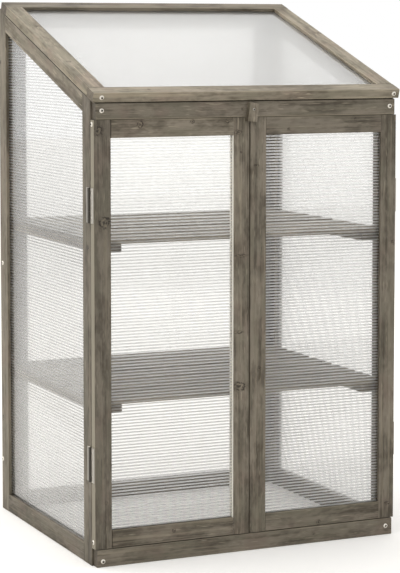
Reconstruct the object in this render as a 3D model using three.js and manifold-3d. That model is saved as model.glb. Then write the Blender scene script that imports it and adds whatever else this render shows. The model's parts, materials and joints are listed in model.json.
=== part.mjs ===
import * as THREE from 'three';
import { mergeVertices } from 'three/addons/utils/BufferGeometryUtils.js';
import Module from 'manifold-3d';

// A wooden mini greenhouse. Two side frames with sloped tops and a rear frame make the body, and two
// rails tie it across the front. A pair of doors closes the front, a hinged lid closes the top, and
// two slatted shelves lie on cleats inside. Every frame holds a twin-wall sheet in a groove.
// Lengths are millimetres: X runs left to right, Y from the front to the back and Z up.

// Body: the outer faces of the side frames, and the height of their two ends
const WIDTH = 660;
const DEPTH = 535;
const FRONT_HEIGHT = 904;
const REAR_HEIGHT = 1084;

// Boards
const BOARD_THICKNESS = 19;
const SIDE_POST_WIDTH = 42;
const SIDE_BOTTOM_RAIL_HEIGHT = 37;
const SIDE_TOP_RAIL_WIDTH = 35;
const REAR_STILE_WIDTH = 35;
const REAR_RAIL_HEIGHT = 35;

// Glazing: sheets in stopped grooves at the middle of the boards
const SHEET_THICKNESS = 4;
const GROOVE_DEPTH = 8;
const GROOVE_CLEARANCE = 0.4;

// Front rails, which stop short of the side frames' outer faces
const FRONT_RAIL_INSET = 4;
const FRONT_BOTTOM_RAIL_HEIGHT = 34;
const FRONT_TOP_RAIL_HEIGHT = 36;

// Doors
const DOOR_STILE_WIDTH = 35;
const DOOR_RAIL_HEIGHT = 35;
const DOOR_END_GAP = 1.6;
const DOOR_CENTRE_GAP = 2;
const DOOR_BACK_GAP = 1;

// Lid, in the plane of the slope
const LID_STILE_WIDTH = 35;
const LID_RAIL_WIDTH = 34;
const LID_SIDE_OVERHANG = 3;
const LID_FRONT_OVERHANG = 22;
const LID_REAR_GAP = 2.4;
const LID_SEAT_GAP = 3;

// Shelves
const SHELF_TOPS = { lower: 322, upper: 635 };
const SLATS_PER_SHELF = 5;
const SLAT_THICKNESS = 10;
const SLAT_GAP = 20;
const SLAT_END_GAP = 1;
const SHELF_EDGE_GAP = 3;
const CLEAT_WIDTH = 46;
const CLEAT_HEIGHT = 16;

// Butt hinges: two on the outer edge of each door, two behind the lid
const HINGE_LENGTH = 68;
const LEAF_WIDTH = 17;
const LEAF_THICKNESS = 1.5;
const BARREL_RADIUS = 3;
const HINGE_PIN_RADIUS = 1.4;
const DOOR_HINGE_INSET = 130;
const DOOR_HINGE_BACKSET = 0.5;
const LID_HINGE_INSET = 120;

// Turn button on the front top rail, and the screw that it turns on
const CATCH_WIDTH = 18;
const CATCH_LENGTH = 36;
const CATCH_THICKNESS = 12;
const CATCH_TOP_TO_PIVOT = 12;
const RAIL_FOOT_TO_PIVOT = 14;
const CENTRE_TO_PIVOT = 3;
const CATCH_TILT_DEG = 6;
const SCREW_RADIUS = 1.8;
const SCREW_HEAD_RADIUS = 4;
const SCREW_HEAD_HEIGHT = 2.2;
const SCREW_GRIP = 13;

// Fits: a running or seating gap, and how far a cutting shape runs past what it cuts
const SEAT_GAP = 0.3;
const OVERRUN = 1;
const ROUND_SEGMENTS = 20;

// The slope, and places that several pieces share
const SLOPE = Math.atan2(REAR_HEIGHT - FRONT_HEIGHT, DEPTH);
const RIGHT_INNER = WIDTH - BOARD_THICKNESS;
const REAR_INNER = DEPTH - BOARD_THICKNESS;
const FRONT_FACE = -BOARD_THICKNESS;
const DOOR_BACK = -DOOR_BACK_GAP;
const LID_REAR = REAR_INNER / Math.cos(SLOPE) - LID_REAR_GAP;
const CATCH_BACK = FRONT_FACE - SEAT_GAP;
const CATCH_FRONT = CATCH_BACK - CATCH_THICKNESS;
const SCREW_SEAT = CATCH_FRONT - SEAT_GAP;
const FRONT_MOST = SCREW_SEAT - SCREW_HEAD_HEIGHT;
const FRONT_TOP_RAIL_FOOT = FRONT_HEIGHT - FRONT_TOP_RAIL_HEIGHT;
const PIVOT_X = WIDTH / 2 + CENTRE_TO_PIVOT;
const PIVOT_Z = FRONT_TOP_RAIL_FOOT + RAIL_FOOT_TO_PIVOT;
const AXIS_STANDOFF = BARREL_RADIUS + SEAT_GAP;
const SHEET_TUCK = GROOVE_DEPTH - GROOVE_CLEARANCE;
const slopeHeight = (y) => FRONT_HEIGHT + y * Math.tan(SLOPE);

const wasm = await Module();
wasm.setup();

// Materials, one colour for each finish
const finishes = {
  timber: { color: 0x877d70, roughness: 0.75, metalness: 0 },
  sheet: { color: 0xe9ecec, roughness: 0.25, metalness: 0, transparent: true, opacity: 0.6 },
  zinc: { color: 0xb4b7b9, roughness: 0.35, metalness: 1 },
};

const greenhouse = new THREE.Group();
greenhouse.position.set(-WIDTH / 2, -(FRONT_MOST + DEPTH) / 2, 0);

function place(name, geometry, finish, parent = greenhouse) {
  const mesh = new THREE.Mesh(geometry, new THREE.MeshStandardMaterial(finishes[finish]));
  mesh.name = name;
  parent.add(mesh);
  return mesh;
}

// Shapes. A unit shape takes its size and place in one step, so that neighbours share exact faces.
function box([x0, x1], [y0, y1], [z0, z1]) {
  const scale = new THREE.Matrix4().makeScale(x1 - x0, y1 - y0, z1 - z0);
  const move = new THREE.Matrix4().makeTranslation((x0 + x1) / 2, (y0 + y1) / 2, (z0 + z1) / 2);
  return new THREE.BoxGeometry(1, 1, 1).applyMatrix4(move.multiply(scale));
}

// A board whose outline is drawn from the side, as [y, z] corners, and runs from x0 to x1
function sideProfile(corners, [x0, x1]) {
  const outline = new THREE.Shape(corners.map(([y, z]) => new THREE.Vector2(y, z)));
  const geometry = new THREE.ExtrudeGeometry(outline, { depth: 1, bevelEnabled: false });
  const across = new THREE.Vector3(x1 - x0, 0, 0);
  const [back, up] = [new THREE.Vector3(0, 1, 0), new THREE.Vector3(0, 0, 1)];
  const axes = new THREE.Matrix4().makeBasis(back, up, across);
  return geometry.applyMatrix4(new THREE.Matrix4().makeTranslation(x0, 0, 0).multiply(axes));
}

// A round bar along Z
function bar(radius, [z0, z1]) {
  const geometry = new THREE.CylinderGeometry(radius, radius, z1 - z0, ROUND_SEGMENTS);
  return geometry.rotateX(Math.PI / 2).translate(0, 0, (z0 + z1) / 2);
}

function toSolid(geometry) {
  const bare = geometry.clone();
  bare.deleteAttribute('normal');
  bare.deleteAttribute('uv');
  const merged = mergeVertices(bare);
  const vertProperties = new Float32Array(merged.attributes.position.array);
  const triVerts = new Uint32Array(merged.index.array);
  return new wasm.Manifold(new wasm.Mesh({ numProp: 3, vertProperties, triVerts }));
}

function toGeometry(solid) {
  const mesh = solid.getMesh();
  const geometry = new THREE.BufferGeometry();
  geometry.setAttribute('position', new THREE.BufferAttribute(mesh.vertProperties, mesh.numProp));
  geometry.setIndex(new THREE.BufferAttribute(mesh.triVerts, 1));
  geometry.computeVertexNormals();
  return geometry;
}

const cut = (geometry, ...tools) =>
  toGeometry(tools.reduce((solid, tool) => solid.subtract(toSolid(tool)), toSolid(geometry)));

const join = (...geometries) =>
  toGeometry(geometries.map(toSolid).reduce((solid, other) => solid.add(other)));

// Span of a sheet, or of its groove, about the middle of the board from start to end
function sheetSpan(start, end, clearance = 0) {
  const middle = (start + end) / 2;
  return [middle - SHEET_THICKNESS / 2 - clearance, middle + SHEET_THICKNESS / 2 + clearance];
}

const widen = ([start, end], by) => [start - by, end + by];

// A side frame: two posts cut to the slope, two rails between them, and its sheet
function addSideFrame(side, span) {
  const front = SIDE_POST_WIDTH;
  const back = DEPTH - SIDE_POST_WIDTH;
  const drop = (width) => width / Math.cos(SLOPE);
  const underSlope = (y, width) => slopeHeight(y) - drop(width);
  const opening = (tuck) => {
    const [y0, y1] = widen([front, back], tuck);
    const floor = SIDE_BOTTOM_RAIL_HEIGHT - tuck;
    const rail = SIDE_TOP_RAIL_WIDTH - tuck;
    return [[y0, floor], [y1, floor], [y1, underSlope(y1, rail)], [y0, underSlope(y0, rail)]];
  };
  const groove = sideProfile(opening(GROOVE_DEPTH), sheetSpan(...span, GROOVE_CLEARANCE));
  const upright = (y0, y1) => [[y0, 0], [y1, 0], [y1, slopeHeight(y1)], [y0, slopeHeight(y0)]];
  const topRail = [
    [front, underSlope(front, SIDE_TOP_RAIL_WIDTH)],
    [back, underSlope(back, SIDE_TOP_RAIL_WIDTH)],
    [back, slopeHeight(back)],
    [front, slopeHeight(front)],
  ];
  const bottomRail = box(span, [front, back], [0, SIDE_BOTTOM_RAIL_HEIGHT]);
  place(`${side}_side_front_post`, cut(sideProfile(upright(0, front), span), groove), 'timber');
  place(`${side}_side_rear_post`, cut(sideProfile(upright(back, DEPTH), span), groove), 'timber');
  place(`${side}_side_bottom_rail`, cut(bottomRail, groove), 'timber');
  place(`${side}_side_top_rail`, cut(sideProfile(topRail, span), groove), 'timber');
  place(`${side}_side_sheet`, sideProfile(opening(SHEET_TUCK), sheetSpan(...span)), 'sheet');
}

// The rear frame stands between the side frames, its top planed to the slope
function addRearFrame() {
  const thick = [REAR_INNER, DEPTH];
  const left = [BOARD_THICKNESS, BOARD_THICKNESS + REAR_STILE_WIDTH];
  const right = [RIGHT_INNER - REAR_STILE_WIDTH, RIGHT_INNER];
  const between = [left[1], right[0]];
  const railFoot = slopeHeight(REAR_INNER) - REAR_RAIL_HEIGHT;
  const planed = (foot) => [
    [REAR_INNER, foot],
    [DEPTH, foot],
    [DEPTH, slopeHeight(DEPTH)],
    [REAR_INNER, slopeHeight(REAR_INNER)],
  ];
  const grooveSpan = sheetSpan(...thick, GROOVE_CLEARANCE);
  const height = [REAR_RAIL_HEIGHT, railFoot];
  const groove = box(widen(between, GROOVE_DEPTH), grooveSpan, widen(height, GROOVE_DEPTH));
  const sheet = box(widen(between, SHEET_TUCK), sheetSpan(...thick), widen(height, SHEET_TUCK));
  place('rear_left_stile', cut(sideProfile(planed(0), left), groove), 'timber');
  place('rear_right_stile', cut(sideProfile(planed(0), right), groove), 'timber');
  place('rear_bottom_rail', cut(box(between, thick, [0, REAR_RAIL_HEIGHT]), groove), 'timber');
  place('rear_top_rail', cut(sideProfile(planed(railFoot), between), groove), 'timber');
  place('rear_sheet', sheet, 'sheet');
}

// A framed sheet of two stiles and two rails. Lay turns its spans across the frame, through its
// thickness and along it into a box. Either the stiles or the rails run through at the corners.
function addFramedSheet(prefix, parent, lay, frame) {
  const { across, thick, along, stile, rail, low, high, railsThrough } = frame;
  const inner = widen(across, -stile);
  const opening = widen(along, -rail);
  const butt = parent === greenhouse ? 0 : SEAT_GAP;
  const stileSpan = railsThrough ? widen(opening, -butt) : along;
  const railSpan = railsThrough ? across : widen(inner, -butt);
  const grooveSpan = sheetSpan(...thick, GROOVE_CLEARANCE);
  const groove = lay(widen(inner, GROOVE_DEPTH), grooveSpan, widen(opening, GROOVE_DEPTH));
  const boards = {
    left_stile: lay([across[0], inner[0]], thick, stileSpan),
    right_stile: lay([inner[1], across[1]], thick, stileSpan),
    [low]: lay(railSpan, thick, [along[0], opening[0]]),
    [high]: lay(railSpan, thick, [opening[1], along[1]]),
  };
  for (const [board, geometry] of Object.entries(boards)) {
    place(`${prefix}_${board}`, cut(geometry, groove), 'timber', parent);
  }
  const sheet = lay(widen(inner, SHEET_TUCK), sheetSpan(...thick), widen(opening, SHEET_TUCK));
  place(`${prefix}_sheet`, sheet, 'sheet', parent);
}

// The front rails are screwed to the front edges of the side frames, the top one planed to the slope
function addFrontRails() {
  const length = [FRONT_RAIL_INSET, WIDTH - FRONT_RAIL_INSET];
  const corners = [
    [FRONT_FACE, FRONT_TOP_RAIL_FOOT],
    [0, FRONT_TOP_RAIL_FOOT],
    [0, slopeHeight(0)],
    [FRONT_FACE, slopeHeight(FRONT_FACE)],
  ];
  const pilotHole = pivotBore([FRONT_FACE - OVERRUN, FRONT_FACE + SCREW_GRIP + SEAT_GAP]);
  pilotHole.translate(PIVOT_X, 0, PIVOT_Z);
  place('front_top_rail', cut(sideProfile(corners, length), pilotHole), 'timber');
  place('front_bottom_rail', box(length, [FRONT_FACE, 0], [0, FRONT_BOTTOM_RAIL_HEIGHT]), 'timber');
}

// The doors fill the front between the rails and meet at the middle with a narrow gap
function addDoor(side, across) {
  const along = [FRONT_BOTTOM_RAIL_HEIGHT + DOOR_END_GAP, FRONT_TOP_RAIL_FOOT - DOOR_END_GAP];
  const lay = (x, y, z) => box(x, y, z);
  const widths = { stile: DOOR_STILE_WIDTH, rail: DOOR_RAIL_HEIGHT, railsThrough: false };
  const names = { low: 'bottom_rail', high: 'top_rail' };
  const spans = { across, thick: [FRONT_FACE, DOOR_BACK], along };
  addFramedSheet(`${side}_door`, greenhouse, lay, { ...spans, ...widths, ...names });
  addDoorHinge(side, 'lower', along[0] + DOOR_HINGE_INSET);
  addDoorHinge(side, 'upper', along[1] - DOOR_HINGE_INSET - HINGE_LENGTH);
}

// One hinge leaf. Its barrel lies on the Z axis and its plate runs from there towards side times X,
// level with the barrel's lowest point. The leaf that holds the pin has the two outer knuckles.
function hingeLeaf(side, holdsPin) {
  const lowerJoint = HINGE_LENGTH / 3;
  const upperJoint = HINGE_LENGTH - lowerJoint;
  const plateEnds = side > 0 ? [0, LEAF_WIDTH] : [-LEAF_WIDTH, 0];
  const plateLayer = [-BARREL_RADIUS, LEAF_THICKNESS - BARREL_RADIUS];
  const plate = box(plateEnds, plateLayer, [0, HINGE_LENGTH]);
  const notchRadius = BARREL_RADIUS + SEAT_GAP;
  if (holdsPin) {
    const knuckles = [[0, lowerJoint], [upperJoint, HINGE_LENGTH]].map((span) => bar(BARREL_RADIUS, span));
    const pin = bar(HINGE_PIN_RADIUS, [0, HINGE_LENGTH]);
    return join(cut(plate, bar(notchRadius, [lowerJoint, upperJoint])), ...knuckles, pin);
  }
  const middle = widen([lowerJoint, upperJoint], -SEAT_GAP);
  const notchSpans = [[-OVERRUN, middle[0]], [middle[1], HINGE_LENGTH + OVERRUN]];
  const notches = notchSpans.map((span) => bar(notchRadius, span));
  const bore = bar(HINGE_PIN_RADIUS + SEAT_GAP, widen(middle, OVERRUN));
  return cut(join(cut(plate, ...notches), bar(BARREL_RADIUS, middle)), bore);
}

function addHinge(prefix, moving, side, movingTurn, parent, [xAxis, yAxis, zAxis], origin) {
  const hinge = new THREE.Group();
  const turn = new THREE.Matrix4().makeBasis(xAxis, yAxis, zAxis);
  hinge.quaternion.setFromRotationMatrix(turn);
  hinge.position.set(...origin);
  parent.add(hinge);
  place(`${prefix}_frame_leaf`, hingeLeaf(side, true), 'zinc', hinge);
  place(`${prefix}_${moving}_leaf`, hingeLeaf(-side, false).rotateZ(movingTurn), 'zinc', hinge);
}

// A door hinge lies flat on the outer faces of the side frame and of the door's edge
function addDoorHinge(side, level, foot) {
  const outwards = side === 'left' ? -1 : 1;
  const x = side === 'left' ? -AXIS_STANDOFF : WIDTH + AXIS_STANDOFF;
  const axes = [
    new THREE.Vector3(0, -outwards, 0),
    new THREE.Vector3(outwards, 0, 0),
    new THREE.Vector3(0, 0, 1),
  ];
  const origin = [x, -DOOR_HINGE_BACKSET, foot];
  addHinge(`${side}_door_${level}_hinge`, 'door', -outwards, 0, greenhouse, axes, origin);
}

// The lid lies in the plane of the slope, and so do its hinges: one leaf on top of the rear frame
// and the other standing up against the rear edge of the lid
function addLid() {
  const slope = new THREE.Group();
  slope.position.set(0, 0, FRONT_HEIGHT);
  slope.rotation.x = SLOPE;
  greenhouse.add(slope);
  const across = [-LID_SIDE_OVERHANG, WIDTH + LID_SIDE_OVERHANG];
  const along = [-LID_FRONT_OVERHANG, LID_REAR];
  const thick = [LID_SEAT_GAP, LID_SEAT_GAP + BOARD_THICKNESS];
  const lay = (x, n, u) => box(x, u, n);
  const widths = { stile: LID_STILE_WIDTH, rail: LID_RAIL_WIDTH, railsThrough: true };
  const names = { low: 'front_rail', high: 'rear_rail' };
  addFramedSheet('lid', slope, lay, { across, thick, along, ...widths, ...names });
  const axes = [new THREE.Vector3(0, 1, 0), new THREE.Vector3(0, 0, 1), new THREE.Vector3(1, 0, 0)];
  const feet = { left: LID_HINGE_INSET, right: WIDTH - LID_HINGE_INSET - HINGE_LENGTH };
  for (const [side, x] of Object.entries(feet)) {
    const origin = [x, LID_REAR + AXIS_STANDOFF, AXIS_STANDOFF];
    addHinge(`lid_${side}_hinge`, 'lid', 1, -Math.PI / 2, slope, axes, origin);
  }
}

// A shelf is a row of slats on two cleats, which are fixed to the posts of the side frames
function addShelf(level, top) {
  const seat = top - SLAT_THICKNESS;
  const [front, back] = [SHELF_EDGE_GAP, REAR_INNER - SHELF_EDGE_GAP];
  const cleatSpans = {
    left: [BOARD_THICKNESS, BOARD_THICKNESS + CLEAT_WIDTH],
    right: [RIGHT_INNER - CLEAT_WIDTH, RIGHT_INNER],
  };
  for (const [side, span] of Object.entries(cleatSpans)) {
    place(`${level}_shelf_${side}_cleat`, box(span, [front, back], [seat - CLEAT_HEIGHT, seat]), 'timber');
  }
  const slatPitch = (back - front + SLAT_GAP) / SLATS_PER_SHELF;
  const length = [BOARD_THICKNESS + SLAT_END_GAP, RIGHT_INNER - SLAT_END_GAP];
  for (let index = 0; index < SLATS_PER_SHELF; index += 1) {
    const y = front + index * slatPitch;
    const slat = box(length, [y, y + slatPitch - SLAT_GAP], [seat, top]);
    place(`${level}_shelf_slat_${index + 1}`, slat, 'timber');
  }
}

// A bore along Y for the turn button's screw
function pivotBore([y0, y1]) {
  return bar(SCREW_RADIUS + SEAT_GAP, [-y1, -y0]).rotateX(Math.PI / 2);
}

// The turn button hangs over the top ends of both doors and turns about its screw
function addCatch() {
  const across = [-CATCH_WIDTH / 2, CATCH_WIDTH / 2];
  const height = [CATCH_TOP_TO_PIVOT - CATCH_LENGTH, CATCH_TOP_TO_PIVOT];
  const block = box(across, [CATCH_FRONT, CATCH_BACK], height);
  const bore = pivotBore([CATCH_FRONT - OVERRUN, CATCH_BACK + OVERRUN]);
  const button = place('turn_button', cut(block, bore), 'timber');
  button.position.set(PIVOT_X, 0, PIVOT_Z);
  button.rotation.y = THREE.MathUtils.degToRad(CATCH_TILT_DEG);
  const rim = SCREW_HEAD_HEIGHT / 2;
  const profile = [
    [0, FRONT_FACE + SCREW_GRIP],
    [SCREW_RADIUS, FRONT_FACE + SCREW_GRIP],
    [SCREW_RADIUS, SCREW_SEAT],
    [SCREW_HEAD_RADIUS, SCREW_SEAT],
    [SCREW_HEAD_RADIUS, SCREW_SEAT - rim],
    [SCREW_HEAD_RADIUS - rim, FRONT_MOST],
    [0, FRONT_MOST],
  ];
  const points = profile.reverse().map(([r, y]) => new THREE.Vector2(r, y));
  const screw = place('turn_button_screw', new THREE.LatheGeometry(points, ROUND_SEGMENTS), 'zinc');
  screw.position.set(PIVOT_X, 0, PIVOT_Z);
}

addSideFrame('left', [0, BOARD_THICKNESS]);
addSideFrame('right', [RIGHT_INNER, WIDTH]);
addRearFrame();
addFrontRails();
addDoor('left', [0, (WIDTH - DOOR_CENTRE_GAP) / 2]);
addDoor('right', [(WIDTH + DOOR_CENTRE_GAP) / 2, WIDTH]);
addLid();
for (const [level, top] of Object.entries(SHELF_TOPS)) addShelf(level, top);
addCatch();

export default greenhouse;
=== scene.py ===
import json
import math
import random

import bmesh
import bpy
from mathutils import Euler, Matrix, Vector


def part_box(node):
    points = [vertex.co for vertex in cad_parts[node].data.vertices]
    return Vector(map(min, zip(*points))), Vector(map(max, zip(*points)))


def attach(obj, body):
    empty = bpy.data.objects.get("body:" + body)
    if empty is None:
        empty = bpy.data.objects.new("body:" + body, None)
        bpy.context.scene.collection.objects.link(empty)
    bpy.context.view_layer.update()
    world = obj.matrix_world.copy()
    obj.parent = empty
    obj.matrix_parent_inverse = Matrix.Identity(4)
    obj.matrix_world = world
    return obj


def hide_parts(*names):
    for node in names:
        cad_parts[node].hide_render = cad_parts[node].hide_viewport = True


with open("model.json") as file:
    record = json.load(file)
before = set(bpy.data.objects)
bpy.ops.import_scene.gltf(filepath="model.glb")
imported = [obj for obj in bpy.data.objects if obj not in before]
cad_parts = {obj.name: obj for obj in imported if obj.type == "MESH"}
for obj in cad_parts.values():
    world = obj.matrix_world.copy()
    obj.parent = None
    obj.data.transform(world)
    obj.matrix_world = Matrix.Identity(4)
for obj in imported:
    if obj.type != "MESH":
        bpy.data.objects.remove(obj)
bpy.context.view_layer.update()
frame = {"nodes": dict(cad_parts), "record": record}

# The camera.
# A mild telephoto at the height of the lid, 24 degrees to the left of the front and tilted down.
# It is fitted to the corners of the boards; the small shift keeps the feet in the picture.
PHOTO_SENSOR = 36.0
LENS = 126.6
CAMERA_PLACE = (-1.7269, -3.8381, 1.0281)
CAMERA_PITCH = math.radians(-4.46)
CAMERA_TURN = math.radians(-24.4)
CAMERA_SHIFT = -0.165
CAMERA_REACH = 50.0

camera = bpy.data.objects.new("camera", bpy.data.cameras.new("camera"))
camera.data.sensor_fit = "AUTO"
camera.data.sensor_width = PHOTO_SENSOR
camera.data.lens = LENS
camera.data.shift_y = CAMERA_SHIFT
camera.data.clip_end = CAMERA_REACH
camera.location = CAMERA_PLACE
camera.rotation_euler = Euler((math.pi / 2 + CAMERA_PITCH, 0.0, CAMERA_TURN))
bpy.context.scene.collection.objects.link(camera)
bpy.context.scene.camera = camera
bpy.context.scene.view_settings.view_transform = "Standard"


# The studio.
# A pale floor in a plain white room, under three wide, soft lamps: one overhead, a weaker one on
# the left, and one behind that lights the sheets from their far side.
def linear(code):
    """The linear colour of a hex value that is written in sRGB."""
    channels = [int(code[i:i + 2], 16) / 255 for i in (1, 3, 5)]
    return (*[c / 12.92 if c <= 0.04045 else ((c + 0.055) / 1.055) ** 2.4 for c in channels], 1.0)


def add(tree, kind, inputs=None, **settings):
    """Adds a node with its settings, sets or links its inputs, and returns its outputs."""
    made = tree.nodes.new(kind)
    for name, value in settings.items():
        setattr(made, name, value)
    for key, value in (inputs or {}).items():
        if isinstance(value, bpy.types.NodeSocket):
            tree.links.new(value, made.inputs[key])
        else:
            made.inputs[key].default_value = value
    return made.outputs


def new_material(name):
    """An empty material and its node tree."""
    made = bpy.data.materials.new(name)
    made.use_nodes = True
    made.node_tree.nodes.clear()
    return made, made.node_tree


ROOM_LEVEL = 1.0
FLOOR_COLOUR = "#ECEAE6"
FLOOR_SIZE = 30.0
FLOOR_DROP = 0.0004
FLOOR_LIFT = 0.2
LAMP_AIM = Vector((0.0, 0.0, 0.6))
LAMPS = (
    # name, place, width, power, colour
    ("overhead_lamp", (-0.5, 0.5, 3.3), 2.6, 40.0, "#FFFDF8"),
    ("left_lamp", (-3.2, 1.2, 1.6), 2.2, 21.0, "#FFFEFA"),
    ("rear_lamp", (1.8, 3.1, 1.5), 2.4, 12.5, "#FFFEFA"),
)

world = bpy.data.worlds.new("room")
world.use_nodes = True
world.node_tree.nodes.clear()
room = add(world.node_tree, "ShaderNodeBackground", {"Color": linear("#FFFFFF"), "Strength": ROOM_LEVEL})
add(world.node_tree, "ShaderNodeOutputWorld", {"Surface": room[0]})
bpy.context.scene.world = world

floor_bm = bmesh.new()
bmesh.ops.create_grid(floor_bm, x_segments=1, y_segments=1, size=FLOOR_SIZE / 2,
                      matrix=Matrix.Translation((0.0, 0.0, -FLOOR_DROP)))
floor_mesh = bpy.data.meshes.new("floor")
floor_bm.to_mesh(floor_mesh)
floor_bm.free()
# the camera alone sees the floor a little paler than it is, so that it meets the white room
floor_material, tree = new_material("pale_floor")
matt = add(tree, "ShaderNodeBsdfDiffuse", {"Color": linear(FLOOR_COLOUR)})
lift = add(tree, "ShaderNodeEmission", {"Color": linear("#FFFFFF"), "Strength": FLOOR_LIFT})
both = add(tree, "ShaderNodeAddShader", {0: matt[0], 1: lift[0]})
seen = add(tree, "ShaderNodeLightPath")
pale = add(tree, "ShaderNodeMixShader", {0: seen["Is Camera Ray"], 1: matt[0], 2: both[0]})
add(tree, "ShaderNodeOutputMaterial", {"Surface": pale[0]})
floor_mesh.materials.append(floor_material)
floor = bpy.data.objects.new("floor", floor_mesh)
bpy.context.scene.collection.objects.link(floor)

for name, place, width, power, colour in LAMPS:
    lamp = bpy.data.objects.new(name, bpy.data.lights.new(name, "AREA"))
    lamp.data.shape = "SQUARE"
    lamp.data.size = width
    lamp.data.energy = power
    lamp.data.color = linear(colour)[:3]
    lamp.location = place
    lamp.rotation_euler = (Vector(place) - LAMP_AIM).to_track_quat("Z", "Y").to_euler()
    lamp.visible_camera = False
    bpy.context.scene.collection.objects.link(lamp)

# The side frames.
# Planed fir boards, 19 mm thick, stained grey-brown, with their long edges eased by hand.
# Two posts, a bottom rail and a sloped top rail are butted together and screwed.
UP = Vector((0.0, 0.0, 1.0))
ACROSS = Vector((1.0, 0.0, 0.0))
BACK = Vector((0.0, 1.0, 0.0))
# the posts' tops are cut to the slope, so the highest corner of each lies on it
front_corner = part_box("left_side_front_post")[1]
rear_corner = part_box("left_side_rear_post")[1]
SLOPE = math.atan2(rear_corner.z - front_corner.z, rear_corner.y - front_corner.y)
UP_SLOPE = Vector((0.0, math.cos(SLOPE), math.sin(SLOPE)))
OFF_SLOPE = Vector((0.0, -math.sin(SLOPE), math.cos(SLOPE)))

# how far apart the rings are, how far they waver, and how far a knot pushes them aside
RING_SPACING = 0.0034
RING_WARP = 0.011
KNOT_PUSH = 0.006
KNOT_RAGGEDNESS = 1.5
# how far the stain has soaked in from a cut end
END_SOAK = 0.045
TONE_STEP = 0.14


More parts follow.
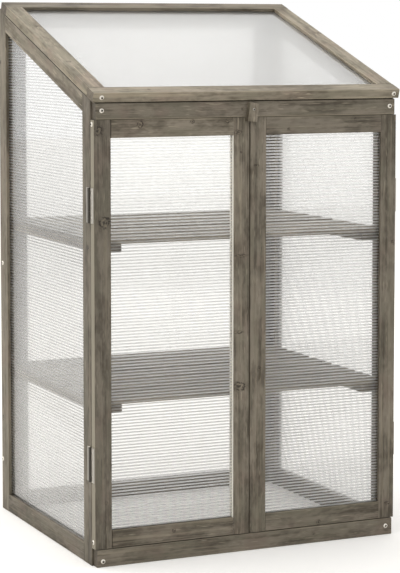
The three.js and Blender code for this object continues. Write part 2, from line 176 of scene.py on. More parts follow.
def stained_fir():
    """Fir under a thin grey-brown stain. The eye sees dark rings and fibres along the board, uneven
    blotches of stain, dark knots, darker ends, and pale wood where wear has rubbed an edge. Wider eased
    edges are painted paler still, as highlights, and some eased edges are painted dark, as the shade in a
    joint. Some faces are painted paler, as highlights, some darker, as shade, and some near white,
    standing in for light."""
    made, tree = new_material("stained_fir")
    grain, knot, look, ends = [add(tree, "ShaderNodeAttribute", attribute_name=name)["Vector"]
                               for name in ("grain", "knot", "look", "ends")]
    tone, cut, edge_wear_and_painted_light = add(tree, "ShaderNodeSeparateXYZ", {0: look})
    from_middle, half_length, painted_pale = add(tree, "ShaderNodeSeparateXYZ", {0: ends})
    knot_radius = add(tree, "ShaderNodeSeparateXYZ", {0: knot})[2]

    def drawn_out(along, across, detail, roughness=0.5):
        """Noise with so many waves a metre along the grain and across it."""
        place = add(tree, "ShaderNodeVectorMath", {0: grain, 1: (along, across, across)},
                    operation="MULTIPLY")[0]
        return add(tree, "ShaderNodeTexNoise", {"Vector": place, "Scale": 1.0, "Detail": detail,
                                                "Roughness": roughness})["Fac"]

    def band(value, rise=None, fall=None):
        """1 past rise and short of fall, each a pair of values with a smooth step between them."""
        share = 1.0
        for pair, first, last in ((rise, 0.0, 1.0), (fall, 1.0, 0.0)):
            if pair:
                step = add(tree, "ShaderNodeMapRange",
                           {"Value": value, "From Min": pair[0], "From Max": pair[1],
                            "To Min": first, "To Max": last}, interpolation_type="SMOOTHSTEP")[0]
                share = add(tree, "ShaderNodeMath", {0: share, 1: step}, operation="MULTIPLY")[0]
        return share

    # how far a point is from the nearest knot, in knot radii, with a ragged outline of 4 to 7 mm waves
    flat = add(tree, "ShaderNodeVectorMath", {0: knot, 1: (1.0, 1.0, 0.0)}, operation="MULTIPLY")[0]
    gap = add(tree, "ShaderNodeVectorMath", {0: flat}, operation="LENGTH")["Value"]
    near = add(tree, "ShaderNodeMath", {0: gap, 1: knot_radius}, operation="DIVIDE")[0]
    near = add(tree, "ShaderNodeMath", {0: drawn_out(150.0, 260.0, 2.0), 1: KNOT_RAGGEDNESS, 2: near},
               operation="MULTIPLY_ADD")[0]
    near = add(tree, "ShaderNodeMath", {0: near, 1: KNOT_RAGGEDNESS / 2}, operation="SUBTRACT")[0]

    # a dark core, a paler ring that is broken every 5 mm, a dark rim and a faint halo
    core = band(near, fall=(0.2, 0.6))
    broken = band(drawn_out(210.0, 170.0, 1.0), rise=(0.42, 0.56))
    inner = add(tree, "ShaderNodeMath", {0: band(near, (0.3, 0.55), (0.7, 0.95)), 1: broken},
                operation="MULTIPLY")[0]
    kept = add(tree, "ShaderNodeMapRange", {"Value": broken, "To Min": 1.0, "To Max": 0.2},
               interpolation_type="SMOOTHSTEP")[0]
    rim = add(tree, "ShaderNodeMath", {0: band(near, (0.7, 1.0), (1.15, 1.6)), 1: kept},
              operation="MULTIPLY")[0]
    halo = band(near, fall=(0.9, 2.4))

    # rings about the pith, which waver every 90 mm and are pushed aside round a knot
    radial = add(tree, "ShaderNodeVectorMath", {0: grain, 1: (0.0, 1.0, 1.0)}, operation="MULTIPLY")[0]
    grown = add(tree, "ShaderNodeVectorMath", {0: radial}, operation="LENGTH")["Value"]
    for push, amount in ((drawn_out(1.6, 11.0, 2.0), RING_WARP), (halo, KNOT_PUSH)):
        grown = add(tree, "ShaderNodeMath", {0: push, 1: amount, 2: grown}, operation="MULTIPLY_ADD")[0]
    turn = add(tree, "ShaderNodeMath", {0: grown, 1: RING_SPACING}, operation="DIVIDE")[0]
    turn = add(tree, "ShaderNodeMath", {0: turn}, operation="FRACT")[0]
    late = band(turn, (0.3, 0.82), (0.9, 1.0))

    # the sizes are one wave's length and width in the wood; real fibres are too fine to show
    fibre = drawn_out(11.0, 420.0, 3.0, 0.62)  # 91 x 2.4 mm, bundles of fibres
    streak = drawn_out(2.6, 100.0, 3.0, 0.55)  # 385 x 10 mm, thick stain from the brush
    pale = drawn_out(3.4, 130.0, 2.0)  # 294 x 8 mm, thin stain from the brush
    fleck = drawn_out(34.0, 300.0, 1.0)  # 29 x 3 mm, chipped stain
    mottle = drawn_out(48.0, 120.0, 2.0, 0.6)  # 21 x 8 mm, dirt
    blotch = drawn_out(7.0, 40.0, 3.0, 0.6)  # 143 x 25 mm, uneven stain
    cloud = drawn_out(9.0, 22.0, 2.0)  # 111 x 45 mm, weathered places
    warm = drawn_out(16.0, 16.0, 2.0)  # 62 mm each way, browner places

    # how much darker than its ground a point is
    soaked = add(tree, "ShaderNodeMath", {0: from_middle}, operation="ABSOLUTE")[0]
    soaked = add(tree, "ShaderNodeMath", {0: soaked, 1: half_length}, operation="SUBTRACT")[0]
    shade = add(tree, "ShaderNodeMath", {0: late, 1: 0.2}, operation="MULTIPLY")[0]
    for pattern, start, end, least, most in (
            (fibre, 0.45, 0.75, 0.0, 0.36), (streak, 0.46, 0.7, 0.0, 0.54), (cloud, 0.4, 0.66, -0.2, 0.34),
            (mottle, 0.36, 0.64, -0.2, 0.2), (soaked, -END_SOAK, 0.0, 0.0, 0.22)):
        part = add(tree, "ShaderNodeMapRange", {"Value": pattern, "From Min": start, "From Max": end,
                                                "To Min": least, "To Max": most},
                   interpolation_type="SMOOTHSTEP")[0]
        shade = add(tree, "ShaderNodeMath", {0: shade, 1: part}, operation="ADD")[0]

    # what lies over the ground, how strongly and in which colour; a strength below 0 shows where
    # the share is below 0, as it is on eased edges painted dark as the shade in a joint and on faces
    # painted pale as highlights
    wood = linear("#7C7365")
    for share, strength, colour in (
            (band(blotch, rise=(0.36, 0.66)), 1.0, "#696354"),
            (band(warm, rise=(0.5, 0.7)), 0.5, "#6F6054"),
            (shade, 1.0, "#463E31"),
            (band(pale, rise=(0.54, 0.74)), 0.5, "#8C826F"),
            (band(fleck, rise=(0.64, 0.76)), 0.55, "#968C79"),
            (halo, 0.22, "#4C4033"), (rim, 0.95, "#2C2319"), (inner, 0.3, "#91866F"), (core, 0.85, "#2A2219"),
            # eased edges: paler with wear, wider ones paler still as a painted highlight, and painted dark as
            # the shade in a joint
            (edge_wear_and_painted_light, 0.45, "#8A816E"), (edge_wear_and_painted_light, -0.85, "#241D15"),
            # darker end grain, faces painted darker as shade on the same scale, and faces painted paler as
            # highlights
            (cut, 0.55, "#40372C"), (cut, -1.0, "#A09885")):
        part = add(tree, "ShaderNodeMath", {0: share, 1: strength}, operation="MULTIPLY")[0]
        wood = add(tree, "ShaderNodeMix", {0: part, 6: wood, 7: linear(colour)}, data_type="RGBA")[2]
    level = add(tree, "ShaderNodeMath", {0: tone, 1: TONE_STEP, 2: 1.0}, operation="MULTIPLY_ADD")[0]
    wood = add(tree, "ShaderNodeVectorMath", {0: wood, "Scale": level}, operation="SCALE")[0]
    # faces painted near white, standing in for the light that the sheet carries into the groove
    wood = add(tree, "ShaderNodeMix", {0: painted_pale, 6: wood, 7: linear("#EDE9DE")}, data_type="RGBA")[2]

    relief = add(tree, "ShaderNodeMath", {0: late, 1: -0.5, 2: fibre}, operation="MULTIPLY_ADD")[0]
    relief = add(tree, "ShaderNodeMath", {0: relief, 1: rim}, operation="SUBTRACT")[0]
    bump = add(tree, "ShaderNodeBump", {"Height": relief, "Strength": 0.5, "Distance": 0.0003})[0]
    rough = add(tree, "ShaderNodeMapRange", {"Value": late, "To Min": 0.72, "To Max": 0.58},
                interpolation_type="SMOOTHSTEP")[0]
    fir = add(tree, "ShaderNodeBsdfPrincipled", {"Base Color": wood, "Roughness": rough, "Normal": bump,
                                                 "IOR": 1.48})
    add(tree, "ShaderNodeOutputMaterial", {"Surface": fir[0]})
    return made


FIR = stained_fir()
EASED_EDGE = 0.0012
GROOVE_INSET = 0.001
TOUCH = 1e-5
FACING = 0.9
LEANING = 0.3
LONG_BOARD = 0.3
# made-up knots lie within these shares of a board's length and width
KNOT_PLACES = (0.1, 0.9)
KNOT_SIDES = (-0.3, 0.3)
KNOT_RADII = (0.0024, 0.0048)
KNOT_WIDTHS = (0.9, 1.6)
# where a board is cut from its log: how far up, and how far from the pith
LOG_STARTS = (0.0, 9.0)
PITH_DISTANCES = (0.018, 0.075)
GRAIN_TILT = 0.012
# a knot so far off that it never shows
CLEAR_WOOD = Vector((9.0, 9.0, 0.005))


def shown_as(name, bm, material, body, slot, *nodes):
    """Makes the finished mesh a piece that rides on a body and stands for CAD nodes."""
    mesh = bpy.data.meshes.new(name)
    bm.to_mesh(mesh)
    bm.free()
    mesh.materials.append(material)
    piece = bpy.data.objects.new(name, mesh)
    bpy.context.scene.collection.objects.link(piece)
    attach(piece, body)
    if nodes:
        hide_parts(*nodes)
    return piece


def welded(node):
    """A copy of a CAD node's mesh with its triangles joined and its flat faces whole."""
    bm = bmesh.new()
    bm.from_mesh(frame["nodes"][node].data)
    bmesh.ops.remove_doubles(bm, verts=bm.verts, dist=1e-6)
    bmesh.ops.dissolve_limit(bm, angle_limit=math.radians(0.5), verts=bm.verts, edges=bm.edges)
    return bm


def spans_of(verts, ways):
    """The lowest and the highest place of some vertices along each direction."""
    return [(min(v.co @ way for v in verts), max(v.co @ way for v in verts)) for way in ways]


def cut_across(bm, place, way, **settings):
    """Cuts a whole mesh along the plane through place that faces way."""
    return bmesh.ops.bisect_plane(bm, geom=bm.verts[:] + bm.edges[:] + bm.faces[:],
                                  plane_co=place, plane_no=way, **settings)["geom_cut"]


def ease_edges(bm, along, sides, ease):
    """Rounds the long outer edges of a board, and gives the new faces."""
    spans = spans_of(bm.verts, sides)

    def at_corner(vert):
        return all(min(abs(vert.co @ way - span[0]), abs(vert.co @ way - span[1])) < TOUCH
                   for way, span in zip(sides, spans))

    long_edges = [e for e in bm.edges if all(at_corner(v) for v in e.verts)
                  and abs((e.verts[1].co - e.verts[0].co).normalized() @ along) > FACING]
    return bmesh.ops.bevel(bm, geom=long_edges, offset=ease, offset_type="OFFSET", segments=2,
                           profile=0.5, affect="EDGES", material=-1)["faces"]


def made_up_knots(draw, length, width):
    """Knots for a board whose own can't be made out: two at most, and one at most on a short one."""
    count = draw.choice((0, 1, 1, 2)) if length > LONG_BOARD else draw.choice((0, 0, 1))
    return [(draw.uniform(*KNOT_PLACES) * length, draw.uniform(*KNOT_SIDES) * width,
             draw.uniform(*KNOT_RADII), draw.uniform(*KNOT_WIDTHS)) for _ in range(count)]


def board(node, body, along, across, knots=None, tone=None, painted_light=(), painted_pale_towards=None, reach=(),
          ease=EASED_EDGE, painted_shade_towards=None):
    """A planed board: its long outer edges are eased, and its grain runs along it from its own log.
    knots are (distance from the low end, distance from the middle line, radius, width over length).
    tone is how many steps lighter the board is. The directions given for painted light have their faces
    painted paler, as highlights, with how much, and painted darker below 0, as shade. The faces towards the
    direction given for the pale groove, and the groove in them, are painted near white, standing in for
    light. reach gives directions and how much further than its CAD solid the board goes. ease is how wide
    the eased edges are. They are pale with wear, the wider ones painted paler still as a highlight, and
    painted dark, as the shade in a joint, where they lean towards the direction given for that, except
    where a cut between two knots goes through them."""
    draw = random.Random(node)
    depth = along.cross(across)
    bm = welded(node)
    for way, distance in reach:
        far = max(v.co @ way for v in bm.verts)
        end = [v for v in bm.verts if v.co @ way > far - TOUCH]
        bmesh.ops.translate(bm, verts=end, vec=way * distance)
    spans = spans_of(bm.verts, (along, across, depth))
    start = spans[0][0]
    length, width = [span[1] - span[0] for span in spans[:2]]
    eased = {tuple(f.calc_center_median()) for f in ease_edges(bm, along, (across, depth), ease)}

    # each face follows its nearest knot, so a board with more than one is cut half-way between them;
    # an eased face is known by its middle, and one that is cut keeps the colour of the board, without
    # the edge's wear and painted light
    knots = sorted(made_up_knots(draw, length, width) if knots is None else knots)
    for first, second in zip(knots, knots[1:]):
        cut_across(bm, along * (start + (first[0] + second[0]) / 2), along)

    log = Vector((draw.uniform(*LOG_STARTS), draw.uniform(*PITH_DISTANCES), 0.0))
    log.rotate(Euler((draw.uniform(0.0, 2 * math.pi), 0.0, 0.0)))
    tilt = draw.uniform(-GRAIN_TILT, GRAIN_TILT)
    tone = draw.uniform(-1.0, 1.0) if tone is None else tone
    origin = Vector((start, sum(spans[1]) / 2, sum(spans[2]) / 2))
    grain_layer, knot_layer, look_layer, ends_layer = [
        bm.loops.layers.float_vector.new(name) for name in ("grain", "knot", "look", "ends")]
    bm.normal_update()
    for face in bm.faces:
        centre = face.calc_center_median()
        # eased edges are paler with wear, and wider ones are painted paler still, as a highlight
        edge_wear_and_painted_light = ease / EASED_EDGE if tuple(centre) in eased else 0.0
        # an eased edge that leans towards the given side is painted dark, as the shade in the joint there
        if edge_wear_and_painted_light and painted_shade_towards and face.normal @ painted_shade_towards > LEANING:
            edge_wear_and_painted_light = -1.0
        along_board = centre @ along - start
        nearest = min(knots, key=lambda k: abs(k[0] - along_board)) if knots else None
        cut = 1.0 if abs(face.normal @ along) > FACING else 0.0
        # faces given painted light are painted paler, as highlights, and below 0 darker, as shade, on the
        # same scale as the darker end grain
        cut -= max([amount for out, amount in painted_light if face.normal @ out > FACING], default=0.0)
        in_groove = (abs(face.normal @ depth) > FACING
                     and min(abs(centre @ depth - side) for side in spans[2]) > GROOVE_INSET)
        # the faces towards the given side, and the groove in them, are painted near white, standing in for
        # the light that the sheet carries there
        painted_pale = 1.0 if painted_pale_towards and (face.normal @ painted_pale_towards > FACING or in_groove) else 0.0
        for loop in face.loops:
            spot = Vector([loop.vert.co @ way for way in (along, across, depth)]) - origin
            loop[grain_layer] = spot + log + Vector((0.0, spot.x * tilt, 0.0))
            loop[look_layer] = Vector((tone, cut, edge_wear_and_painted_light))
            loop[ends_layer] = Vector((spot.x - length / 2, length / 2, painted_pale))
            loop[knot_layer] = CLEAR_WOOD
            if nearest:
                place, aside, radius, widened = nearest
                loop[knot_layer] = Vector((spot.x - place, (spot.y - aside) / widened, radius))
    return shown_as(node + "_board", bm, FIR, body, "timber", node)


for side in ("left", "right"):
    board(f"{side}_side_front_post", "body", UP, BACK, tone=-1.2,
          knots=[(0.16, 0.004, 0.003, 1.0), (0.62, -0.006, 0.0028, 1.4)])
    board(f"{side}_side_rear_post", "body", UP, BACK, tone=0.4)
    board(f"{side}_side_bottom_rail", "body", BACK, UP, tone=-1.0)
    # its upper eased edges are painted dark, as the shade under the lid's overhang
    board(f"{side}_side_top_rail", "body", UP_SLOPE, OFF_SLOPE, tone=1.4, painted_shade_towards=OFF_SLOPE)

# The rear frame.
# The same fir between the two side frames: two stiles as high as the rear posts,
# with a bottom rail and a top rail whose upper edge is planed to the slope.
for side, tone in (("left", -1.0), ("right", -1.6)):
    board(f"rear_{side}_stile", "body", UP, ACROSS, tone=tone)
board("rear_bottom_rail", "body", ACROSS, UP)
board("rear_top_rail", "body", ACROSS, UP)

# The front rails.
# Two boards laid across the front edges of the side frames and held by a screw at each end.
# They stop a little short of the outer faces and take the doors between them.
# the top rail is drawn a little taller and rounder than the others, as it looks, and its wider eased
# edges are painted paler, as a highlight
TOP_RAIL_DROP = 0.0012
TOP_RAIL_EASE = 0.002
board("front_top_rail", "body", ACROSS, UP, tone=-0.45, knots=[(0.31, -0.002, 0.0022, 1.0)],
      reach=[(-UP, TOP_RAIL_DROP)], ease=TOP_RAIL_EASE)
board("front_bottom_rail", "body", ACROSS, UP, tone=-0.4, knots=[(0.47, 0.002, 0.0028, 0.8)])

# The doors.
# Four boards each, the stiles running through and the rails butted between them.
# The knots are where the real boards show theirs. Open joints show beside the left door's hinge stile.
# how much paler the doors' outer edges are painted, as a highlight, how much darker the right door's
# reveal is painted, as shade, and how wide the open joints are
OUTER_EDGE_HIGHLIGHT = 0.75
REVEAL_SHADE = -0.9
JOINT = 0.0008
board("left_door_left_stile", "left_door", UP, ACROSS, tone=-1.4, painted_light=[(-ACROSS, OUTER_EDGE_HIGHLIGHT)],
      knots=[(0.634, 0.004, 0.0088, 1.1), (0.81, -0.01, 0.006, 1.35), (0.09, 0.006, 0.0026, 1.0)])
# its inner face and groove are painted near white, standing in for the light that the sheet carries there
board("left_door_right_stile", "left_door", UP, ACROSS, tone=0.2, painted_pale_towards=-ACROSS,
      knots=[(0.802, -0.008, 0.003, 2.3), (0.762, -0.001, 0.0018, 1.0), (0.558, -0.001, 0.0022, 4.6),
             (0.406, -0.0075, 0.0024, 3.8), (0.2975, -0.0055, 0.0066, 1.8)])
board("right_door_left_stile", "right_door", UP, ACROSS, tone=0.2,
      knots=[(0.33, 0.003, 0.0028, 1.2), (0.735, -0.004, 0.0024, 1.6)])
board("right_door_right_stile", "right_door", UP, ACROSS, tone=-0.35,
      painted_light=[(ACROSS, OUTER_EDGE_HIGHLIGHT), (-ACROSS, REVEAL_SHADE)],
      knots=[(0.57, 0.013, 0.0034, 1.3), (0.03, 0.003, 0.003, 1.5)])
board("left_door_top_rail", "left_door", ACROSS, UP, tone=0.9, reach=[(-ACROSS, -JOINT)],
      knots=[(0.06, 0.008, 0.0046, 1.3), (0.17, 0.0115, 0.003, 1.0), (0.246, 0.0115, 0.0034, 1.1)])
board("left_door_bottom_rail", "left_door", ACROSS, UP, tone=-0.2, reach=[(-ACROSS, -JOINT)],
      knots=[(0.13, 0.004, 0.003, 1.0)])
board("right_door_top_rail", "right_door", ACROSS, UP, tone=-0.9,
      knots=[(0.05, -0.008, 0.0026, 1.0), (0.2, 0.01, 0.0022, 1.3)])
board("right_door_bottom_rail", "right_door", ACROSS, UP, tone=-0.2, knots=[(0.12, -0.012, 0.0036, 1.2)])

# The lid.
# A frame of four boards on the slope: the front and rear rails run the full width,
# and the stiles are butted between them. It overhangs the front, so that rain drips clear.
LID_TONE = 2.6
# how much darker the front edge is painted, as shade
FRONT_FACE_SHADE = -0.08
for side in ("left", "right"):
    # their lower outer eased edges are painted dark, as the shade where the lid overhangs the side frames
    board(f"lid_{side}_stile", "lid", UP_SLOPE, ACROSS, tone=LID_TONE + 1.0, painted_shade_towards=-OFF_SLOPE)
board("lid_front_rail", "lid", ACROSS, UP_SLOPE, tone=LID_TONE + 0.6, painted_light=[(-UP_SLOPE, FRONT_FACE_SHADE)],
      knots=[(0.12, 0.0, 0.0022, 1.0)])
board("lid_rear_rail", "lid", ACROSS, UP_SLOPE, tone=-0.3)

# The shelves.
# Five thin planed slats lie across a pair of cleats, which are screwed to the side frames.
# The slats are stained as the frames are, the lower ones a little paler.
SLATS = 5
for tier, tone in (("lower", 1.3), ("upper", None)):
    for side in ("left", "right"):
        board(f"{tier}_shelf_{side}_cleat", "body", BACK, ACROSS)
    for number in range(1, SLATS + 1):
        board(f"{tier}_shelf_slat_{number}", "body", ACROSS, BACK, tone=tone)

# The twin-wall sheets.
# Clear extruded polycarbonate: two thin skins joined by webs every 6 mm, so rain-proof but light.
# Their flutes run across, and their edges sit in grooves in the boards.
FLUTE_PITCH = 0.006
SKIN = 0.0006
WEB = 0.0007
# where the milk begins and is full, in pitches off the middle of a flute, and how much of it there is
MILKY_FROM = 0.22
MILKY_TO = 0.30
MILK = 0.38
EVEN_MILK = 0.18
CROSSINGS = 64


def twin_wall_polycarbonate():
    """Clear skins that go milky where they thicken into the webs. Seen through them, what is
    behind breaks into fine stripes. The milky band is drawn as wide as the fillets look."""
    made, tree = new_material("twin_wall_polycarbonate")
    across = add(tree, "ShaderNodeAttribute", attribute_name="flute")["Fac"]
    phase = add(tree, "ShaderNodeMath", {0: across, 1: 1.0, 2: 0.0}, operation="WRAP")[0]
    offset = add(tree, "ShaderNodeMath", {0: phase, 1: 0.5}, operation="SUBTRACT")[0]
    from_middle = add(tree, "ShaderNodeMath", {0: offset}, operation="ABSOLUTE")[0]
    milky = add(tree, "ShaderNodeMapRange", {"Value": from_middle, "From Min": MILKY_FROM,
                                             "From Max": MILKY_TO, "To Min": 0.0, "To Max": MILK},
                interpolation_type="SMOOTHSTEP")["Result"]
    even = add(tree, "ShaderNodeAttribute", attribute_name="even")["Fac"]
    milky = add(tree, "ShaderNodeMix", {0: even, 2: milky, 3: EVEN_MILK})[0]

    # most of the light that the milk takes goes on through the sheet, part of it only bent a little
    front = add(tree, "ShaderNodeBsdfDiffuse", {"Color": linear("#FFFFFE")})
    through = add(tree, "ShaderNodeBsdfTranslucent", {"Color": linear("#FFFFFE")})
    bent = add(tree, "ShaderNodeBsdfRefraction", {"Color": linear("#FFFFFF"), "Roughness": 0.8,
                                                  "IOR": 1.18})
    forward = add(tree, "ShaderNodeMixShader", {0: 0.65, 1: through[0], 2: bent[0]})
    white = add(tree, "ShaderNodeMixShader", {0: 0.97, 1: front[0], 2: forward[0]})
    clear = add(tree, "ShaderNodeBsdfTransparent", {"Color": linear("#FEFEFE")})
    skin = add(tree, "ShaderNodeMixShader", {0: milky, 1: clear[0], 2: white[0]})

    facing = add(tree, "ShaderNodeLayerWeight", {"Blend": 0.5})["Facing"]
    glancing = add(tree, "ShaderNodeMath", {0: facing, 1: 5.0}, operation="POWER")[0]
    shine = add(tree, "ShaderNodeMapRange", {"Value": glancing, "To Min": 0.015, "To Max": 0.9})["Result"]
    gloss = add(tree, "ShaderNodeBsdfGlossy", {"Color": linear("#FFFFFF"), "Roughness": 0.04})
    sheet = add(tree, "ShaderNodeMixShader", {0: shine, 1: skin[0], 2: gloss[0]})
    add(tree, "ShaderNodeOutputMaterial", {"Surface": sheet[0]})
    return made


POLYCARBONATE = twin_wall_polycarbonate()
# a ray goes through up to four sheets, and through both sides of each skin and web that it meets
bpy.context.scene.cycles.transparent_max_bounces = CROSSINGS


def twin_wall(node, body, along, across, top=None, even=0.0):
    """A hollow sheet the size of its CAD node: a ladder-shaped section drawn out along the flutes.
    top is a point and a normal that cut it to the slope. even is how far its milky bands are
    levelled out: a real sheet blurs the one behind it, where two drawn ones would make a pattern."""
    depth = along.cross(across)
    (start, end), (low, high), (inner, outer) = spans_of(frame["nodes"][node].data.vertices,
                                                         (along, across, depth))
    # webs stand on whole pitches, and none is within half a pitch of an edge
    first = math.ceil(low / FLUTE_PITCH + 0.5)
    last = math.floor(high / FLUTE_PITCH - 0.5)
    heights = [low]
    for number in range(first, last + 1):
        heights += [number * FLUTE_PITCH - WEB / 2, number * FLUTE_PITCH + WEB / 2]
    heights += [high]
    depths = [inner, inner + SKIN, outer - SKIN, outer]

    bm = bmesh.new()
    rows = len(heights) - 1
    bmesh.ops.create_grid(bm, x_segments=3, y_segments=rows, size=0.5)
    for vert in bm.verts:
        column, row = round((vert.co.x + 0.5) * 3), round((vert.co.y + 0.5) * rows)
        vert.co = along * start + across * heights[row] + depth * depths[column]
    hollow = []
    for face in bm.faces:
        centre = face.calc_center_median()
        row = sum(1 for height in heights if height < centre @ across) - 1
        if depths[1] < centre @ depth < depths[2] and row % 2 == 0:
            hollow.append(face)
    bmesh.ops.delete(bm, geom=hollow, context="FACES")
    drawn = bmesh.ops.extrude_face_region(bm, geom=bm.faces[:], use_keep_orig=True)["geom"]
    bmesh.ops.translate(bm, verts=[g for g in drawn if isinstance(g, bmesh.types.BMVert)],
                        vec=along * (end - start))
    if top:
        cut = cut_across(bm, *top, clear_outer=True)
        bmesh.ops.triangle_fill(bm, use_beauty=True, use_dissolve=False,
                                edges=[g for g in cut if isinstance(g, bmesh.types.BMEdge)])
    bmesh.ops.recalc_face_normals(bm, faces=bm.faces)
    flute_layer, even_layer = [bm.loops.layers.float.new(name) for name in ("flute", "even")]
    for face in bm.faces:
        for loop in face.loops:
            loop[flute_layer] = loop.vert.co @ across / FLUTE_PITCH
            loop[even_layer] = even
    return shown_as(node + "_panel", bm, POLYCARBONATE, body, "twin_wall_sheet", node)


for side, even in (("left", 0.0), ("right", 0.65)):
    sheet_mesh = frame["nodes"][f"{side}_side_sheet"].data
    highest = max(sheet_mesh.vertices, key=lambda v: v.co.z).co.copy()
    twin_wall(f"{side}_side_sheet", "body", BACK, UP, top=(highest, OFF_SLOPE), even=even)
    twin_wall(f"{side}_door_sheet", f"{side}_door", ACROSS, UP)
twin_wall("rear_sheet", "body", ACROSS, UP, even=0.8)
twin_wall("lid_sheet", "lid", ACROSS, UP_SLOPE)


# The butt hinges.
# Zinc-plated steel, pressed and rolled: two flat leaves whose knuckles share one pin.
# They are screwed to the outer faces of the boards, with the knuckles over the joint.
def zinc_plate():
    """Zinc-plated steel, bright with a faint bloom in 4 mm patches, and dark where a per-face attribute
    says so: painted shade in knuckles and screw recesses, and darker far edges of leaves and screw heads.
    """
    made, tree = new_material("zinc_plate")
    place = add(tree, "ShaderNodeTexCoord")["Object"]
    bloom = add(tree, "ShaderNodeTexNoise", {"Vector": place, "Scale": 260.0, "Detail": 3.0})["Fac"]
    shade_and_dulling = add(tree, "ShaderNodeAttribute", attribute_name="shade_and_dulling")["Fac"]
    colour = linear("#D6D1C7")
    # 1A1612 is painted shade in knuckles and screw recesses, and darkens leaf edges and some screw heads
    for share, over in ((bloom, "#F4EEE3"), (shade_and_dulling, "#1A1612")):
        colour = add(tree, "ShaderNodeMix", {0: share, 6: colour, 7: linear(over)}, data_type="RGBA")[2]
    rough = add(tree, "ShaderNodeMapRange", {"Value": bloom, "To Min": 0.3, "To Max": 0.5})["Result"]
    bump = add(tree, "ShaderNodeBump", {"Height": bloom, "Strength": 0.25, "Distance": 0.0001})[0]
    zinc = add(tree, "ShaderNodeBsdfPrincipled", {"Base Color": colour, "Roughness": rough,
                                                  "Metallic": 1.0, "Normal": bump})
    add(tree, "ShaderNodeOutputMaterial", {"Surface": zinc[0]})
    return made


ZINC = zinc_plate()
LEAF_EASE = 0.00025
KNUCKLE_REACH = 0.0036
CLEAN_REACH = 0.0105
# how dark the knuckles are painted, as shade, and how much darker the leaves' far edges are drawn
KNUCKLE_SHADE = 0.9
FAR_EDGE_DARKENING = 0.45
SHARP_CORNER = math.radians(60)
SMOOTH_CORNER = math.radians(35)
# how far the screws are from the pin, and how far apart, as a share of the leaf's length
LEAF_SCREW_REACH = 0.0085
LEAF_SCREW_SPREAD = 0.7


def smoothed(piece):
    """Shades a metal piece smooth, and keeps its corners sharp."""
    for face in piece.data.polygons:
        face.use_smooth = True
    piece.data.set_sharp_from_angle(angle=SMOOTH_CORNER)
    return piece


def hinge_part(node, body, pin, across, out):
    """A hinge leaf with its sharp edges eased and its knuckles smooth. Its knuckles are painted dark, as
    shade, and its far edge is drawn darker. Gives where its two screws go.
    pin is a point on the pin's axis, across runs over the leaf, and out is away from the board."""
    bm = welded(node)
    for distance in (-CLEAN_REACH, -KNUCKLE_REACH, KNUCKLE_REACH, CLEAN_REACH):
        cut_across(bm, pin + across * distance, across)
    bm.normal_update()
    plate = [v.co.copy() for f in bm.faces if f.normal @ out > FACING
             and abs((f.calc_center_median() - pin) @ across) > KNUCKLE_REACH for v in f.verts]
    length = across.cross(out)
    low, high = [f(c @ length for c in plate) for f in (min, max)]
    way = 1.0 if sum((c - pin) @ across for c in plate) > 0 else -1.0
    middle = across * (pin @ across + way * LEAF_SCREW_REACH)
    middle += out * (plate[0] @ out) + length * (low + high) / 2
    sharp = [e for e in bm.edges if e.is_manifold and e.calc_face_angle() > SHARP_CORNER]
    bmesh.ops.bevel(bm, geom=sharp, offset=LEAF_EASE, offset_type="OFFSET", segments=1,
                    profile=0.5, affect="EDGES", material=-1, clamp_overlap=True)
    shade_and_dulling_layer = bm.loops.layers.float.new("shade_and_dulling")
    for face in bm.faces:
        distance = abs((face.calc_center_median() - pin) @ across)
        # knuckles are painted dark, as shade; the far edge is drawn darker
        shade_and_dulling = KNUCKLE_SHADE if distance < KNUCKLE_REACH else 0.0 if distance < CLEAN_REACH else FAR_EDGE_DARKENING
        for loop in face.loops:
            loop[shade_and_dulling_layer] = shade_and_dulling
    smoothed(shown_as(node + "_plated", bm, ZINC, body, "zinc_plate", node))
    spread = length * ((high - low) / 2 * LEAF_SCREW_SPREAD)
    return [(f"{node}_screw_{number}", body, middle + spread * end, out)
            for number, end in enumerate((-1.0, 1.0), start=1)]


pins = {joint["name"]: Vector(joint["pos_m"]) for joint in frame["record"]["behaviour"]["joints"]}
leaf_screws = []
for side, outwards in (("left", -ACROSS), ("right", ACROSS)):
    pin = pins[f"{side}_door_hinge"]
    for place in ("lower", "upper"):
        hinge = f"{side}_door_{place}_hinge"
        leaf_screws += hinge_part(f"{hinge}_frame_leaf", "body", pin, BACK, outwards)
        leaf_screws += hinge_part(f"{hinge}_door_leaf", f"{side}_door", pin, BACK, outwards)
    pin = pins["lid_hinge"]
    leaf_screws += hinge_part(f"lid_{side}_hinge_frame_leaf", "body", pin, UP_SLOPE, OFF_SLOPE)
    leaf_screws += hinge_part(f"lid_{side}_hinge_lid_leaf", "lid", pin, OFF_SLOPE, UP_SLOPE)

# The turn button.
# A stub of the same stained fir, a little larger than its CAD solid, that turns on one screw
# and hangs over the meeting stiles to hold both doors shut.
BUTTON_LEFT = 0.002
BUTTON_RIGHT = 0.0012
BUTTON_TOP = 0.002
board("turn_button", "turn_button", UP, ACROSS, knots=[], tone=1.3,
      reach=[(-ACROSS, BUTTON_LEFT), (ACROSS, BUTTON_RIGHT), (UP, BUTTON_TOP)])

# The screws.
# Zinc-plated pan-head screws with a cross recess, driven home in the boards.
# The small ones hold the hinge leaves and the turn button.
HEAD_RADIUS = 0.0047
SCREW_SIDES = 20
# in head radii: the outline from the top of the head to the end of the shank, and the cross recess
HEAD_PROFILE = ((0.0, 0.34), (0.45, 0.32), (0.8, 0.22), (1.0, 0.0), (0.42, 0.0), (0.42, -1.4), (0.0, -1.4))
RECESS_WIDTH = 0.5
RECESS_LENGTH = 1.2
RECESS_FOOT = 0.6
RECESS_DEPTH = 0.8
RECESS_MIDDLE = 0.33
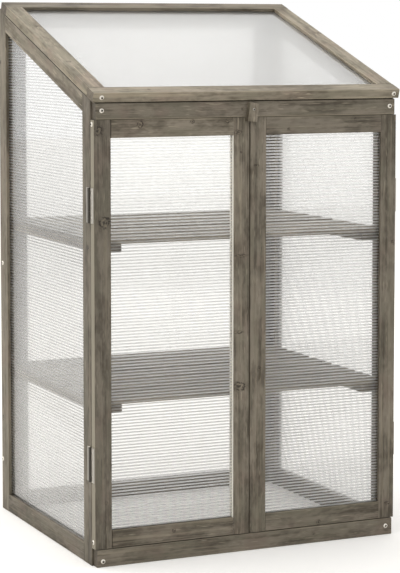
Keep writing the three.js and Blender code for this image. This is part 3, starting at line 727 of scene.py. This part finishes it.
# a face whose middle lies no further out than this, and between these heights, is in the recess
RECESS_WALLS = 0.66
RECESS_HEIGHTS = (-0.3, 0.25)


def placed(name, bm):
    """An object for a mesh that is only used to make another."""
    mesh = bpy.data.meshes.new(name)
    bm.to_mesh(mesh)
    bm.free()
    made = bpy.data.objects.new(name, mesh)
    bpy.context.scene.collection.objects.link(made)
    return made


def screw_mesh():
    """A screw of radius 1 whose head stands on the plane z = 0 and points up, with its recess cut in."""
    bm = bmesh.new()
    verts = [bm.verts.new((x, 0.0, z)) for x, z in HEAD_PROFILE]
    edges = [bm.edges.new(pair) for pair in zip(verts, verts[1:])]
    bmesh.ops.spin(bm, geom=verts + edges, cent=(0, 0, 0), axis=(0, 0, 1), angle=2 * math.pi,
                   steps=SCREW_SIDES, use_merge=True)
    bmesh.ops.remove_doubles(bm, verts=bm.verts, dist=1e-5)
    bmesh.ops.recalc_face_normals(bm, faces=bm.faces)
    head = placed("screw_head", bm)
    arms = []
    for turn in (0.0, math.pi / 2):
        bm = bmesh.new()
        bmesh.ops.create_cube(bm, size=1.0)
        bmesh.ops.scale(bm, verts=bm.verts, vec=(RECESS_LENGTH, RECESS_WIDTH, RECESS_DEPTH))
        foot = [v for v in bm.verts if v.co.z < 0]
        bmesh.ops.scale(bm, verts=foot, vec=(RECESS_FOOT, 1.0, 1.0))
        bmesh.ops.rotate(bm, verts=bm.verts, cent=(0, 0, 0), matrix=Matrix.Rotation(turn, 3, "Z"))
        bmesh.ops.translate(bm, verts=bm.verts, vec=(0, 0, RECESS_MIDDLE))
        arms.append(placed("recess", bm))
        cutter = head.modifiers.new("recess", "BOOLEAN")
        cutter.operation = "DIFFERENCE"
        cutter.solver = "EXACT"
        cutter.object = arms[-1]
    done = bpy.data.meshes.new_from_object(head.evaluated_get(bpy.context.evaluated_depsgraph_get()))
    for spare in (head, *arms):
        bpy.data.objects.remove(spare)
    return done


SCREW = screw_mesh()


def screw_at(place, out, radius, turn=0.0, dull=0.0):
    """The mesh of a screw whose head stands on place and faces out. Its recess is painted dark, as
    shade, and dull is how much darker the head is drawn."""
    bm = bmesh.new()
    bm.from_mesh(SCREW)
    bm.normal_update()
    shade_and_dulling_layer = bm.loops.layers.float.new("shade_and_dulling")
    for face in bm.faces:
        middle = face.calc_center_median()
        in_recess = middle.xy.length < RECESS_WALLS and RECESS_HEIGHTS[0] < middle.z < RECESS_HEIGHTS[1]
        for loop in face.loops:
            # the recess is painted dark, as shade; dull darkens the head
            loop[shade_and_dulling_layer] = 1.0 if in_recess else dull
    facing = out.normalized().to_track_quat("Z", "Y").to_matrix().to_4x4()
    bmesh.ops.transform(bm, verts=bm.verts, matrix=Matrix.Translation(place) @ facing
                        @ Matrix.Rotation(turn, 4, "Z") @ Matrix.Scale(radius, 4))
    return bm


def screw(name, body, place, out, radius=HEAD_RADIUS, turn=0.5, dull=0.0):
    """A screw that holds a board or a leaf, and is a piece of its own."""
    bm = screw_at(place, out, radius, turn, dull)
    return smoothed(shown_as(name, bm, ZINC, body, "zinc_plate"))


FRONT_SCREWS = (
    # rail, side, distance from the rail's end, height over its lower edge, turn
    ("front_top_rail", "left", 0.0125, 0.016, 0.3),
    ("front_top_rail", "right", 0.011, 0.016, 1.0),
    ("front_bottom_rail", "left", 0.012, 0.011, 0.6),
    ("front_bottom_rail", "right", 0.014, 0.018, 0.2),
)
for rail, side, inset, height, turn in FRONT_SCREWS:
    low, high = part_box(rail)
    x = low.x + inset if side == "left" else high.x - inset
    screw(f"{rail}_{side}_screw", "body", (x, low.y, low.z + height), -BACK, turn=turn)

LID_SCREWS = (
    # side, distance from the rail's end, turn
    ("left", 0.0175, 0.9),
    ("right", 0.012, 0.1),
)
low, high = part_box("lid_front_rail")
rail_spans = spans_of(frame["nodes"]["lid_front_rail"].data.vertices, (UP_SLOPE, OFF_SLOPE))
for side, inset, turn in LID_SCREWS:
    x = low.x + inset if side == "left" else high.x - inset
    place = UP_SLOPE * rail_spans[0][0] + OFF_SLOPE * (sum(rail_spans[1]) / 2) + ACROSS * x
    screw(f"lid_front_{side}_screw", "lid", place, -UP_SLOPE, turn=turn)

POST_SCREWS = (
    # distance from the post's rear face, height over the floor, turn, dullness
    (0.007, 0.109, 0.7, 0.0),
    (0.014, 0.538, 1.4, 0.0),
    (0.007, 0.970, 2.1, 0.85),
)
DOOR_SCREW_DEPTH = 0.011
TOP_SCREW_INSET = 0.0084
BOTTOM_SCREW_INSET = 0.0124
for side, outwards in (("left", -ACROSS), ("right", ACROSS)):
    low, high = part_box(f"{side}_side_rear_post")
    outer = low.x if side == "left" else high.x
    for number, (inset, height, turn, dull) in enumerate(POST_SCREWS, start=1):
        screw(f"{side}_rear_post_screw_{number}", "body", (outer, high.y - inset, height), outwards,
              turn=turn, dull=dull)
    low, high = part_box(f"{side}_door_{side}_stile")
    y = low.y + DOOR_SCREW_DEPTH
    screw(f"{side}_door_top_screw", f"{side}_door", (outer, y, high.z - TOP_SCREW_INSET), outwards, turn=0.4)
    screw(f"{side}_door_bottom_screw", f"{side}_door", (outer, y, low.z + BOTTOM_SCREW_INSET), outwards,
          turn=1.2)

LEAF_SCREW_RADIUS = 0.0027
LEAF_SCREW_SINK = 0.0005
for name, body, place, out in leaf_screws:
    screw(name, body, place - out * LEAF_SCREW_SINK, out, radius=LEAF_SCREW_RADIUS)

# the turn button's screw is drawn with a smaller head than its CAD solid, and keeps that one's length
PIVOT_HEAD_SHARE = 0.7
PIVOT_DULLNESS = 0.55
low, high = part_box("turn_button_screw")
button_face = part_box("turn_button")[0].y
radius = (high.x - low.x) / 2 * PIVOT_HEAD_SHARE
bm = screw_at(((low.x + high.x) / 2, button_face, (low.z + high.z) / 2), -BACK, radius, dull=PIVOT_DULLNESS)
for vert in bm.verts:
    if vert.co.y > button_face + radius:
        vert.co.y = high.y
shown_as("turn_button_screw_plated", bm, ZINC, "body", "zinc_plate", "turn_button_screw")
